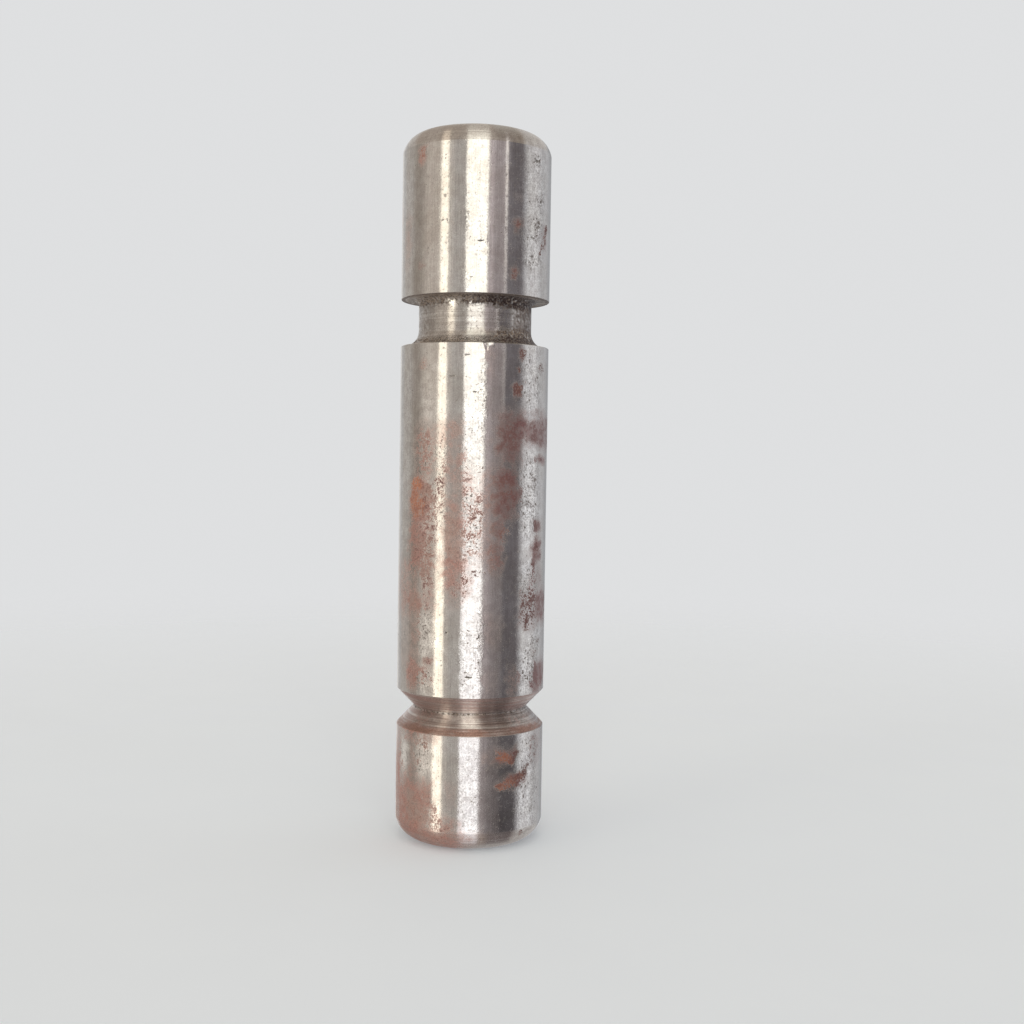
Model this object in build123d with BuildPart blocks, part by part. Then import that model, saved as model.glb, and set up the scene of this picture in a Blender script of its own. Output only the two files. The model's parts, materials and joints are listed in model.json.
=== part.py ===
from build123d import *
from math import cos, radians, sin, tan
import os

os.makedirs("parts", exist_ok=True)

# A forklift pin: a headless shaft turned in one piece from round bar, with a square keeper
# groove near its head end and a V-shaped lock groove near its foot end.
# It stands on the foot face. The axis is +Z and the origin is the middle of the foot face.
# Lengths are in millimetres and angles in degrees.

# Bar
pin_dia = 25.0
pin_length = 118.5

# Both ends: a convex arc that is tangent to the flat end face and meets the land at a faint edge
end_round_radius = 4.25
end_edge_angle = 11.5

# Keeper groove: a straight upper wall with a small root radius, and a lower wall that sweeps
# out of the neck in a wide one
keeper_low_wall = 83.05
keeper_width = 7.8
keeper_depth = 3.0
keeper_low_root_radius = 2.7
keeper_high_root_radius = 1.0

# Lock groove: a V that a set screw or a lock wire bears in
lock_centre = 22.4
lock_mouth_width = 6.1
lock_angle = 90.0
lock_root_radius = 0.15

# Every groove mouth is broken by a small chamfer
edge_break = 0.1

# Nick in the centre land, driven down from the keeper groove's lower edge
nick_azimuth = 8.8
nick_width = 0.8
nick_length = 1.3
nick_depth = 0.25

# A cutting section reaches this far past the surface that it cuts
cut_over = 1.0

pin_radius = pin_dia / 2
neck_radius = pin_radius - keeper_depth
end_face_radius = pin_radius - end_round_radius * cos(radians(end_edge_angle))
end_round_sweep = 90 - end_edge_angle
keeper_root_room = keeper_depth - edge_break
lock_half_angle = radians(lock_angle / 2)
lock_depth = lock_mouth_width / 2 / tan(lock_half_angle)


def radial_plane(azimuth):
    """Plane through the axis; its X points outward at an azimuth from -Y towards +X."""
    turn = radians(azimuth)
    outward = Vector(sin(turn), -cos(turn), 0)
    return Plane(origin=(0, 0, 0), x_dir=outward, z_dir=outward.cross(Vector(0, 0, 1)))


def broken_mouth(part):
    """Chamfer the two rims that the last cut left at the land's full radius."""
    rims = part.edges(Select.LAST).filter_by(GeomType.CIRCLE).group_by(SortBy.RADIUS)[-1]
    chamfer(rims, edge_break)


with BuildPart() as pin:
    # Blank: half of the long section, turned about the axis
    with BuildSketch(radial_plane(0)):
        with BuildLine():
            foot_face = Line((0, 0), (end_face_radius, 0))
            foot_round = JernArc(foot_face @ 1, (1, 0), end_round_radius, end_round_sweep)
            head_face = Line((0, pin_length), (end_face_radius, pin_length))
            head_round = JernArc(head_face @ 1, (1, 0), end_round_radius, -end_round_sweep)
            Line(foot_round @ 1, head_round @ 1)
            Line(foot_face @ 0, head_face @ 0)
        make_face()
    revolve(axis=Axis.Z)

    # Keeper groove
    with BuildSketch(radial_plane(0)) as keeper_section:
        with Locations((neck_radius, keeper_low_wall)):
            Rectangle(keeper_depth + cut_over, keeper_width, align=(Align.MIN, Align.MIN))
        low_root, high_root = keeper_section.vertices().group_by(Axis.X)[0].sort_by(Axis.Y)
        fillet(low_root, min(keeper_low_root_radius, keeper_root_room))
        fillet(high_root, min(keeper_high_root_radius, keeper_root_room))
    revolve(axis=Axis.Z, mode=Mode.SUBTRACT)
    broken_mouth(pin)

    # Lock groove
    with BuildSketch(radial_plane(0)) as lock_section:
        lock_reach = lock_depth + cut_over
        lock_spread = lock_reach * tan(lock_half_angle)
        with BuildLine():
            Polyline(
                (pin_radius - lock_depth, lock_centre),
                (pin_radius + cut_over, lock_centre + lock_spread),
                (pin_radius + cut_over, lock_centre - lock_spread),
                close=True,
            )
        make_face()
        fillet(lock_section.vertices().sort_by(Axis.X)[0], lock_root_radius)
    revolve(axis=Axis.Z, mode=Mode.SUBTRACT)
    broken_mouth(pin)

    # Nick: a wedge, deepest at the groove's edge and run out at its foot
    with BuildSketch(radial_plane(nick_azimuth)):
        with BuildLine():
            Polyline(
                (pin_radius, keeper_low_wall - nick_length),
                (pin_radius + cut_over, keeper_low_wall - nick_length),
                (pin_radius + cut_over, keeper_low_wall + nick_depth),
                (pin_radius - nick_depth, keeper_low_wall + nick_depth),
                (pin_radius - nick_depth, keeper_low_wall),
                close=True,
            )
        make_face()
    extrude(amount=nick_width / 2, both=True, mode=Mode.SUBTRACT)

pin.part.label = "pin"
export_step(pin.part, "parts/pin.step")
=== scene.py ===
import json
import math
import random
from types import SimpleNamespace

import bpy
import numpy as np
from mathutils import Matrix, Vector, noise


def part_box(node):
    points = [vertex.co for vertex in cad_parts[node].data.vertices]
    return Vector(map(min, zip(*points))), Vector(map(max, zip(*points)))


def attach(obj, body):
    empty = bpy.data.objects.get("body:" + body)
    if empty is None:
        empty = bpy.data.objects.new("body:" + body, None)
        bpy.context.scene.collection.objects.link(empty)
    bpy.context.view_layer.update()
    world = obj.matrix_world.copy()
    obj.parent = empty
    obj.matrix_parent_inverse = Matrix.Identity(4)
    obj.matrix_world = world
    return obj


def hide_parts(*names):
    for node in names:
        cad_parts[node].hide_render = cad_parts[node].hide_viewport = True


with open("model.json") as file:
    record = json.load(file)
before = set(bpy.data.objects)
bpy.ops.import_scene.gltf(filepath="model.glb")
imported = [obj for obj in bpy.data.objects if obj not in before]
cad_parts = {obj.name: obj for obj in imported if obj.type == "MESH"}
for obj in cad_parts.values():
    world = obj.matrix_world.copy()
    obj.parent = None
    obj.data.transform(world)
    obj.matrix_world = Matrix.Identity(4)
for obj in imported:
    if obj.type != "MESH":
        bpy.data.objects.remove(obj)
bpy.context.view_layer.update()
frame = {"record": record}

# A worn and rusty steel pin, turned in one piece. It stands on its foot face with its axis on +Z.
# Form is worked out in millimetres and metres go into the meshes. An azimuth is in degrees from
# the side that faces the camera (-Y), positive towards +X.
MM = 0.001
MOUNTS = {mount["name"]: mount for mount in frame["record"]["mounts"]}


def mount_height(name):
    return MOUNTS[name]["pos_m"][2] / MM


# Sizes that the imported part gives
PIN_RADIUS = MOUNTS["centre_land"]["dims"]["r_mm"]
PIN_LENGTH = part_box("pin")[1].z / MM
NECK_RADIUS = MOUNTS["keeper_groove"]["dims"]["r_mm"]
KEEPER_WIDTH = MOUNTS["keeper_groove"]["dims"]["length_mm"]
KEEPER_LOW = mount_height("keeper_groove") - KEEPER_WIDTH / 2
KEEPER_HIGH = KEEPER_LOW + KEEPER_WIDTH
LOCK_CENTRE = mount_height("lock_groove")
LOCK_WIDTH = MOUNTS["lock_groove"]["dims"]["length_mm"]

# Sizes that belong to the turned form only
END_RADIUS = 4.25
END_EDGE = 11.5
LOW_ROOT = 2.7
HIGH_ROOT = 1.0
LOCK_ROOT = 0.15
EDGE_BREAK = 0.1
FACE_RADIUS = PIN_RADIUS - END_RADIUS * math.cos(math.radians(END_EDGE))
END_HEIGHT = END_RADIUS * (1 - math.sin(math.radians(END_EDGE)))
LOCK_DEPTH = LOCK_WIDTH / 2
LOCK_LOW = LOCK_CENTRE - LOCK_DEPTH
LOCK_HIGH = LOCK_CENTRE + LOCK_DEPTH
LOCK_BOTTOM = PIN_RADIUS - LOCK_DEPTH

# Thin tool ring on both end roundings, by the tilt of the surface from upright
TOOL_RING_TILT = 32.5
TOOL_RING_MARGIN = 4
TOOL_RING_WIDTH = 0.13
TOOL_RING_DEPTH = 0.03

# Nick under the keeper groove, and the burr beside it
NICK_LEFT = 6.2
NICK_WIDTH = 0.78
NICK_LENGTH = 1.35
NICK_DEPTH = 0.25
NICK_LEAN = 0.4
BURR_WIDTH = 1.0
BURR_LENGTH = 0.85
BURR_HEIGHT = 0.1
BURR_END = 0.12

# Spacing of the mesh rows
FACE_STEP = 0.95
LAND_STEP = 0.5
HIGH_WALL_STEP = 0.35
NECK_STEP = 0.3
ROUND_STEP = 0.27
LOW_ROOT_STEP = 0.24
HIGH_ROOT_STEP = 0.2
NICK_STEP = 0.13
RING_STEP = 0.1
FINE_STEP = 0.06
INNER_ROW = FACE_RADIUS / 9

# Columns of the mesh, in degrees. They are close together across the nick and its burr
COLUMN_STEP = 1.75
CLOSE_STEP = 0.4
CLOSE_FROM = NICK_LEFT - 1.5
CLOSE_TO = NICK_LEFT + 11

# Patches of wear are squarish ovals, given as azimuth, height, half width, half height and
# strength 0..1
OVAL_POWER = 2.5

# Specks of rust, with their hue as well, 0 dark .. 1 orange
SCALE_PATCHES = (
    # head land
    (-45, 113.6, 0.8, 1.1, 0.75, 0.4), (-49, 111.8, 0.5, 0.8, 0.35, 0.3), (-43.5, 95.8, 0.4, 0.5, 0.6, 0.1),
    (31.5, 102, 0.8, 0.9, 0.72, 0.25), (29, 94.3, 0.5, 0.8, 0.55, 0.4), (66.5, 102.2, 0.6, 0.8, 0.95, 0.1),
    (64, 100.7, 0.5, 0.9, 1, 0.1), (60.5, 99.3, 0.6, 0.6, 0.95, 0.1), (57, 98, 0.6, 0.4, 0.9, 0.1),
    # under the keeper groove
    (-42.5, 79.2, 0.5, 0.9, 0.45, 0.9), (39, 81.4, 0.6, 1, 0.8, 0.2), (36.5, 78.6, 0.5, 0.6, 0.75, 0.2),
    (35.3, 75.6, 0.9, 1, 1, 0.25), (61, 79.5, 0.9, 0.8, 0.6, 0.2),
    # middle of the centre land
    (-47, 60.1, 1.4, 1.3, 1, 1), (-47.5, 57.2, 1.5, 2.6, 0.9, 0.8), (-41, 56.5, 0.7, 2, 0.7, 0.85),
    (-36.5, 57.8, 1.7, 3.8, 0.36, 0.4), (-29, 59.5, 0.8, 1.8, 0.45, 0.1), (-24.5, 60, 1, 1.9, 0.42, 0.05),
    (-22, 55.8, 0.6, 2.6, 0.32, 0.2), (-24, 64.8, 0.9, 4.5, 0.22, 0.2), (-24, 53, 1, 5, 0.08, 0.2),
    (-37, 51.5, 2, 5, 0.5, 0.3), (-46, 49, 1.6, 3, 0.45, 0.3), (-35, 43.3, 1.4, 3.4, 0.4, 0.3),
    (-13, 49.5, 1.5, 8, 0.22, 0.35), (-10, 43.5, 1.5, 2, 0.35, 0.35), (-4.5, 44.2, 0.9, 1.7, 0.55, 0.3),
    (-5.5, 59, 0.9, 3, 0.3, 0.05), (-1, 56, 1.7, 1.8, 0.36, 0), (-2, 52.8, 1.6, 1.6, 0.24, 0.05),
    (6, 57.5, 0.6, 3.6, 0.3, 0.05), (5.5, 50.5, 0.7, 3.3, 0.22, 0.05), (-5.5, 49, 0.8, 2.5, 0.22, 0.05),
    (0.5, 46.1, 2, 0.4, 0.62, 0.25), (0, 62.5, 1.8, 2.2, 0.22, 0.1), (26, 59.5, 1.7, 2.7, 0.42, 0.45),
    (25, 52.6, 1.2, 1.6, 0.42, 0.6), (19, 48.3, 1.3, 1.8, 0.32, 0.5), (29, 67.8, 1.7, 2.6, 0.32, 0.3),
    (66.5, 64.1, 1.6, 0.5, 0.45, 0.1), (58, 68.8, 5, 2.1, 0.3, 0.1), (57.5, 53.4, 0.8, 0.9, 0.55, 0.2),
    (58.5, 49.4, 0.9, 1.4, 0.6, 0.2), (55.5, 47, 0.7, 0.7, 0.55, 0.12), (57.5, 51.3, 0.6, 0.8, 0.4, 0.12),
    (62.5, 49, 0.9, 0.7, 0.5, 0.12),
    # lower half of the centre land
    (45, 40.5, 1, 1.6, 0.6, 0.1), (47, 37.8, 1.2, 1.6, 0.78, 0), (50, 41, 1.2, 1, 0.5, 0.1),
    (44, 42.2, 0.5, 0.5, 0.7, 0.1), (68, 40.3, 2.5, 3, 0.25, 0.05), (70, 28.3, 2.3, 2.4, 0.25, 0.05),
    (49, 39.3, 2.3, 3.2, 0.6, 0.05), (33, 28, 0.9, 1.6, 0.35, 0.1), (56, 32.2, 1.2, 0.9, 0.45, -0.1),
    (63, 34.2, 0.9, 0.4, 0.6, -0.1), (-48, 40.6, 1.6, 1.6, 0.3, 0.35), (-60, 41.5, 2.4, 3, 0.2, 0.4),
    (-50, 29.3, 1.3, 2.1, 0.3, 0.25), (-32.5, 31.1, 0.9, 0.8, 0.45, 0.3), (-36, 28.6, 1.4, 1.2, 0.3, 0.4),
    # foot land and foot rounding
    (-54, 6.2, 4.8, 4.6, 0.22, 0.4), (-36, 7.5, 1.6, 3.5, 0.25, 0.4), (-40, 16.5, 2, 2.6, 0.15, 0.35),
    (-26, 5, 1, 2.6, 0.15, 0.3), (-18, 3, 2, 1.8, 0.35, 0.5), (-60, 17, 2, 2, 0.15, 0.3),
    (23, 16.3, 1.2, 0.9, 0.55, 1.1), (28.5, 15.8, 1.1, 1, 0.95, 0.95), (33, 15.1, 0.8, 1.1, 1, 0.6),
    (37.5, 15.8, 0.7, 0.8, 0.9, 0.05), (25.5, 11.1, 1, 0.8, 0.8, 0.8), (31, 11.4, 1.1, 0.9, 1, 0.6),
    (37, 11.6, 1.1, 1, 1, 0.35), (42.5, 12.2, 0.9, 0.9, 1, 0.2), (47.5, 13.2, 0.7, 0.7, 0.85, 0.05),
    (52, 13.8, 0.6, 0.5, 0.7, 0), (57, 14.3, 0.8, 0.5, 0.75, 0), (60, 15.4, 0.6, 0.6, 0.65, 0),
    (52, 16.4, 1.8, 2, 0.14, 0), (66, 17.3, 3, 2, 0.18, 0.2), (45.1, 2.6, 0.5, 0.4, 0.7, 0.5),
)

# Thin brown film
FILM_PATCHES = (
    # head land
    (-64, 99.5, 1.6, 4.5, 0.4), (-45, 113.3, 1.1, 1.4, 0.9), (-43.5, 95.8, 0.5, 0.6, 0.5),
    (31.5, 102, 1.1, 1.3, 0.8), (33, 106.5, 1, 0.8, 0.25), (29, 94.3, 0.6, 1.1, 0.6),
    (64, 100.8, 1.1, 2, 0.5),
    # centre land, left of the light
    (-42.5, 79.3, 0.8, 1.1, 0.4), (-40, 65.2, 2.4, 4.8, 0.54), (-36, 67.8, 2.3, 2.4, 0.46),
    (-23, 68.8, 1, 1.6, 0.34), (-15, 68.8, 1.8, 2.4, 0.6), (-15, 65, 1.7, 5.6, 0.56),
    (-14, 50.3, 1.8, 8.6, 0.86), (-43, 57.3, 2.7, 4.5, 0.95), (-35, 57, 1.6, 4.8, 0.52),
    (-45.5, 50, 2.3, 5, 0.85), (-36, 49, 1.8, 6.4, 0.76), (-34, 42, 1.4, 3, 0.55),
    (-24.5, 59.8, 1.3, 2.6, 0.46), (-21.5, 55.5, 0.8, 3, 0.42), (-28.8, 49, 0.4, 12, 0.34),
    (-61, 41.6, 4.6, 4.2, 0.52), (-64, 45.8, 3.6, 1.8, 0.45), (-49, 40.6, 1.8, 2, 0.95),
    (-50, 29, 1.8, 2.7, 0.92), (-32.5, 31, 1, 0.9, 0.8), (-36, 28.8, 1.6, 1.3, 0.33),
    (-47.5, 34.5, 1.2, 8.5, 0.46), (-57, 33.5, 3.6, 6.5, 0.18), (-74, 46, 2, 3, 0.3),
    # centre land, in the light and right of it
    (-4.5, 44.2, 1.1, 2, 0.6), (0, 53, 1.9, 7.3, 0.22), (-5, 57.5, 1.3, 4.5, 0.46),
    (-1, 56, 1.7, 2.2, 0.42), (-2, 52.6, 1.6, 1.8, 0.34), (6, 57.5, 0.8, 3.8, 0.4),
    (5.5, 50.5, 0.9, 3.5, 0.34), (-5.5, 49, 1, 2.8, 0.44), (0, 62.5, 1.9, 2.6, 0.11), (0, 67, 1.9, 3, 0.04),
    (15, 58, 1.6, 5, 0.62), (25, 58.7, 2.6, 4.6, 1), (20.5, 52.8, 1.4, 2.3, 0.92),
    (18, 48.8, 1.5, 2.9, 0.8), (14, 53, 1.4, 6.5, 0.45), (28, 68, 2.7, 4.4, 1), (37, 69.8, 2, 2.6, 0.95),
    (45, 69, 2, 2, 0.8), (60, 68.8, 5.5, 2.2, 1), (79, 69, 3.4, 2.8, 1), (64, 71.5, 4, 1.2, 0.45),
    (66, 64.2, 2, 0.9, 1), (58.5, 53.4, 1.4, 1.2, 1), (59, 49.3, 1.7, 2, 1), (56, 47.3, 1.2, 0.9, 0.8),
    (17, 36.5, 2, 2.9, 0.25), (33, 28.5, 1.2, 2.8, 0.55), (15, 28, 1.4, 2.6, 0.25),
    (13, 80, 0.9, 2.7, 0.25), (38, 81.3, 0.8, 1.4, 0.6), (35.5, 75.6, 1.1, 1.3, 0.75),
    (48, 39.5, 2.4, 3.4, 0.55), (70, 40, 3.2, 3, 1), (60, 44.5, 2.4, 2.4, 0.45), (70, 28.4, 3, 2.7, 1),
    (59, 27.4, 1.4, 1.6, 0.7),
    # foot land and foot rounding
    (-54, 6, 5.4, 5.6, 1), (-37, 7.6, 1.9, 4, 0.9), (-75, 10, 2.2, 8.5, 1), (-45, 19, 4.5, 1.6, 0.6),
    (-48, 15, 1.2, 4.5, 0.5), (-39, 16.5, 2.2, 3, 0.18), (-26, 4.8, 1.2, 2.6, 0.38),
    (-17, 3.4, 2.2, 2.7, 0.72), (-32, 1.8, 7, 2.2, 1), (-14, 9.5, 1, 2.5, 0.25), (19.5, 16, 1.9, 1.5, 0.55),
    (28, 15.9, 2.1, 1.7, 0.9), (35, 11.6, 2.7, 1.1, 0.9), (15, 10.5, 1.2, 5.5, 0.1), (66, 16.6, 3, 3, 0.32),
    (12, 2.7, 3, 0.9, 0.3),
)

# Etched stretches, rough with small pits
PITTED_PATCHES = (
    # head land
    (50, 104, 3.6, 11.5, 0.56), (52, 113, 1.3, 0.8, 1), (53, 102, 1.8, 2.5, 0.95), (46, 100.5, 1, 0.9, 0.9),
    (56, 107, 1.2, 1.6, 0.95), (49, 96.7, 2.6, 1.5, 0.9), (-6.5, 93, 0.7, 2, 0.5), (-6, 102, 0.5, 2, 0.6),
    (8, 98.2, 0.3, 1.6, 0.6), (0, 104, 1.9, 12, 0.2), (-72, 104, 4, 10, 0.2),
    # centre land, right of the light
    (49, 77, 3, 6, 0.7), (48.5, 58, 2.8, 8, 0.91), (49, 43, 2.8, 6, 0.8), (50, 30, 3, 4.5, 0.88),
    (57, 34.5, 2, 2.2, 0.9),
    # centre land, in the light
    (7, 74, 0.6, 8, 0.7), (0, 67.5, 1.8, 7, 0.5), (-6, 63, 1.2, 4, 0.55), (0, 54, 2, 7, 0.72),
    (0, 31.5, 1.9, 6, 0.52), (-5, 31.5, 0.9, 6, 0.66), (6.5, 34, 0.8, 8, 0.75), (-3, 36, 1.2, 1.5, 0.66),
    (-1.5, 29.1, 1.6, 0.7, 0.66), (0, 40, 1.9, 3, 0.25),
    # centre land, left of the light
    (-37, 74, 1.6, 6, 0.4), (-40, 65.5, 2.4, 4.5, 0.66), (-35, 57, 1.7, 4.6, 0.65),
    (-42, 58.5, 1.5, 3.6, 0.6), (-36, 48, 1.8, 6, 0.6), (-37, 36, 2, 5, 0.79), (-38, 28, 2.2, 2.2, 0.8),
    (-26, 59.5, 1.6, 8.5, 0.66), (-26, 46, 1.6, 5, 0.4), (-50, 50, 2.2, 8, 0.56), (-72, 70, 4, 14, 0.25),
    (-70, 42, 4.5, 12, 0.36),
    # foot land
    (0, 10, 1.9, 9.5, 0.52), (51, 10, 3.4, 7, 0.72), (52, 16.5, 3.2, 2.6, 0.76), (46, 21.6, 3.8, 2.6, 0.6),
    (-48, 21, 3.2, 2.4, 0.6), (-38, 15.5, 2, 3.6, 0.8), (-60, 15, 1.8, 3.8, 0.7), (-26, 5.5, 1.2, 3.2, 0.6),
)

# Stretches that are worn clean and bright, and painted glints: some lie where the lamp's and the window's
# highlights fall in the grooves and bands, and brighten the steel there
WORN_AND_GLINT_PATCHES = (
    (-60, 15, 1.4, 3.4, 1), (-38, 15.8, 1.8, 3.2, 1), (-36, 36, 2, 4.2, 0.6), (-37, 28.3, 1.8, 1.9, 0.6),
    (50, 56, 2.6, 8, 0.2), (-36, 75, 1.8, 6, 0.3), (-36, 66, 1.8, 3.5, 0.4), (-35, 56, 1.8, 5, 0.62),
    (-36, 47.5, 1.8, 5.5, 0.36), (-25.5, 5, 1.4, 2.4, 0.6), (0, 3.6, 2, 1.2, 0.5), (0, 21.5, 2.1, 0.8, 1),
    (-12, 22.2, 4.2, 0.4, 1), (-1, 83.9, 2.4, 0.7, 1), (-22.5, 84, 0.9, 0.4, 1), (-22.5, 89.5, 0.9, 0.8, 1),
)

# Single dark marks
MARKS = (
    (3.3, 99.15, 0.55, 0.1, 0.9), (-16.5, 77.6, 0.5, 0.12, 0.6), (0.4, 75.1, 0.32, 0.1, 0.7),
    (-5.6, 81, 0.45, 0.14, 0.5), (-23.8, 106.3, 0.16, 0.28, 0.32), (-25.8, 102.5, 0.26, 0.13, 0.38),
    (-22, 102.5, 0.11, 0.24, 0.35), (51, 112.9, 0.5, 0.22, 0.8), (57, 106.5, 0.3, 0.2, 0.9),
    (55.5, 102.9, 0.3, 0.15, 0.9), (47, 100.4, 0.5, 0.2, 0.6), (-18.5, 36.2, 0.24, 0.15, 0.9),
    (6, 35.7, 0.1, 0.3, 0.9), (-1.5, 29, 0.55, 0.13, 0.9), (121, 97, 0.6, 0.15, 0.8),
    (-148, 61, 0.5, 0.12, 0.8), (172, 34, 0.2, 0.5, 0.7),
)

# Dents that can be felt: azimuth, height, radius, depth
DENTS = (
    (3.3, 99.15, 0.45, 0.03), (0.4, 75.1, 0.45, 0.03), (-16.5, 77.6, 0.5, 0.03), (52.9, 76.5, 0.5, 0.05),
    (66.3, 64.3, 0.5, 0.05), (121, 97, 0.7, 0.06), (-148, 61, 0.8, 0.06), (172, 34, 0.6, 0.05),
    (98, 47, 0.6, 0.06), (-101, 88, 0.5, 0.05),
)

# Noise of the steel: cells per millimetre, detail, roughness
GRAINS = {
    "dust": (5.0, 2.0, 0.6), "fine": (3.4, 3.0, 0.65), "spots": (2.5, 1.5, 0.5),
    "crumbs": (2.1, 2.0, 0.6), "ripple": (1.5, 1.0, 0.5), "coarse": (0.85, 3.0, 0.55),
    "cloud": (0.22, 3.0, 0.5),
}

# Noise of the turned rings: cells per millimetre along the section, and per metre across the pin
RINGS_PER_MM = 2.9
RING_WANDER = 60.0

# Fields that the mesh gives to the steel, besides the run along its section
FIELDS = ("scale", "film", "pitted", "worn", "grime", "ragged", "turned", "hue", "deep", "band")

# Marks: cells per millimetre and reach of the noise that warps them, and their depth in the pin
MARK_WARP_SCALE = 2.5
MARK_WARP = 0.4
MARK_DEPTH = 1.5

# Colours and tints of the steel and of what lies on it. A pair is blended in clouds. The shaded film and
# rust tints are painted shade
STEEL_DULL = (0.53, 0.505, 0.475)
STEEL_CLEAR = (0.585, 0.565, 0.545)
STEEL_STREAK = (0.43, 0.41, 0.39)
# bright clean steel, partly painted glints
STEEL_WORN_AND_GLINT = (0.92, 0.89, 0.85)
RING_DARK = (0.3, 0.265, 0.24)
# bright ring colour, partly a painted highlight
RING_GLINT = (0.78, 0.76, 0.73)
MOTTLE_PALE = (1.03, 1.03, 1.03)
MOTTLE_DARK = (0.93, 0.91, 0.91)
FILM_PALE = ((0.43, 0.228, 0.19), (0.405, 0.258, 0.218))
# shaded copy of the film: painted shade on the pin's right
FILM_SHADED = ((0.196, 0.094, 0.09), (0.208, 0.117, 0.11))
FILM_ON_RINGS = (0.44, 0.3, 0.27)
FILM_ON_BAND = (0.35, 0.215, 0.175)
PIT_DARK = (0.16, 0.13, 0.115)
RUST_DARK = (0.19, 0.103, 0.095)
RUST_ORANGE = (0.46, 0.195, 0.115)
RUST_BLACK = (0.16, 0.09, 0.08)
# darker rust on the pin's right: painted shade
RUST_SHADED = (0.74, 0.7, 0.7)
# black and brown of the grime, which also paint shade in the grooves and under the head
SHADE_AND_GRIME_BLACK = (0.04, 0.022, 0.021)
SHADE_AND_GRIME_BROWN = (0.21, 0.16, 0.132)
# pale buff of the crumbs, partly painted glints
GRIME_BUFF_AND_GLINT = (0.42, 0.34, 0.27)
MARK_DARK = (0.11, 0.095, 0.085)

# Studio: panels that stand round the pin, as azimuth from, azimuth to, brightness, tint
BACKDROP = (0.735, 0.742, 0.75)
NEUTRAL = (1.0, 0.99, 0.975)
COOL = (0.98, 1.0, 1.045)
WARM = (1.0, 0.94, 0.87)
SAND = (1.0, 0.955, 0.9)
TAWNY = (1.0, 0.9, 0.8)
DUSK = (1.0, 0.9, 0.92)
PLUM = (1.0, 0.935, 1.01)
PANELS = (
    # behind and far left
    (-180, -176, 0.62, NEUTRAL), (-167, -160, 0.88, NEUTRAL), (-152, -144, 0.64, NEUTRAL),
    # left: a board, a dim corner, two buff walls and the bright wall beside the lamp
    (-136, -118, 0.64, SAND), (-105, -95, 0.47, TAWNY), (-78, -62, 0.77, TAWNY),
    (-41, -38, 0.8, WARM), (-33, -20, 0.65, SAND),
    # right: two walls, a dark curtain and a pale board
    (19, 24, 0.66, DUSK), (29, 43, 0.45, DUSK), (50, 74, 0.232, PLUM), (87, 108, 1.02, COOL),
    # far right and behind
    (120, 136, 0.7, COOL), (156, 168, 0.44, COOL), (176, 180, 0.62, NEUTRAL),
)

# Floor, in metres: a round board that lies a hair under the foot face
FLOOR_RINGS = (0.03, 0.08, 0.2, 0.45)
FLOOR_SIDES = 96
FLOOR_GAP = 0.00002

# Camera: place in millimetres, and yaw, pitch and roll in degrees
CAMERA_PLACE = (0, -222.8, 64.3)
CAMERA_TURN = (1.7307, -2.2931, 0.8707)
FOCAL_PIXELS = 1308.6
PHOTO_PIXELS = 1024

# Far side: patches of the same kinds lie at random from this azimuth round to its mirror. A patch
# has an equal chance of each span of heights, so the long land has it twice
UNSEEN_FROM = 92.0
UNSEEN_SEED = 41
UNSEEN_SPECKS = 46
UNSEEN_STAINS = 16
UNSEEN_ETCHED = 14
UNSEEN_SPANS = ((2, 18), (27, 82), (27, 82), (92, 114))


def smooth(edge_out, edge_in, value):
    """0 at edge_out, 1 at edge_in, eased between them."""
    t = np.clip((value - edge_out) / (edge_in - edge_out), 0, 1)
    return t * t * (3 - 2 * t)


def turn_between(azimuth, centre):
    """Signed angle from centre to azimuth, in degrees, -180 to 180."""
    return (azimuth - centre + 180) % 360 - 180


class Profile:
    """Half section of the pin, walked from the middle of the foot face to that of the head face."""

    def __init__(self, radius, height):
        self.points = [(radius, height)]
        self.zones = ["start"]
        self.creases = []

    def add(self, points, zone):
        self.points += points
        self.zones += [zone] * len(points)

    def line(self, radius, height, step, zone):
        r0, z0 = self.points[-1]
        count = max(1, round(math.hypot(radius - r0, height - z0) / step))
        shares = [i / count for i in range(1, count + 1)]
        self.add([(r0 + (radius - r0) * t, z0 + (height - z0) * t) for t in shares], zone)

    def arc(self, centre, radius, start, end, step, zone):
        """Arc from angle start to end, in degrees above the outward direction."""
        count = max(2, round(radius * abs(math.radians(end - start)) / step))
        turns = [math.radians(start + (end - start) * i / count) for i in range(1, count + 1)]
        r0, z0 = centre
        self.add([(r0 + radius * math.cos(a), z0 + radius * math.sin(a)) for a in turns], zone)

    def crease(self):
        """The last point is an edge that shades sharp."""
        self.creases.append(len(self.points) - 1)

    def end_round(self, height, start, ring, end):
        """End rounding about a centre at height, with fine rows across the tool ring."""
        centre = (FACE_RADIUS, height)
        near_ring = (ring - TOOL_RING_MARGIN, ring + TOOL_RING_MARGIN)
        self.arc(centre, END_RADIUS, start, near_ring[0], ROUND_STEP, "round")
        self.arc(centre, END_RADIUS, *near_ring, FINE_STEP, "round")
        self.arc(centre, END_RADIUS, near_ring[1], end, ROUND_STEP, "round")

    def into_groove(self, height, step):
        """Up the land and over its broken edge, to where a groove starts."""
        self.line(PIN_RADIUS, height - EDGE_BREAK, step, "land")
        self.crease()
        self.line(PIN_RADIUS - EDGE_BREAK, height, RING_STEP, "edge")
        self.crease()

    def out_of_groove(self, height, step, zone):
        """Out along a groove's upper wall, of the given zone, and over the broken edge."""
        self.line(PIN_RADIUS - EDGE_BREAK, height, step, zone)
        self.crease()
        self.line(PIN_RADIUS, height + EDGE_BREAK, RING_STEP, "edge")
        self.crease()

    def where(self, *starts):
        """Column of 1 in the rows whose zone starts with one of the words, and 0 in the others."""
        return np.array([[float(zone.startswith(starts))] for zone in self.zones])


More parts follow.
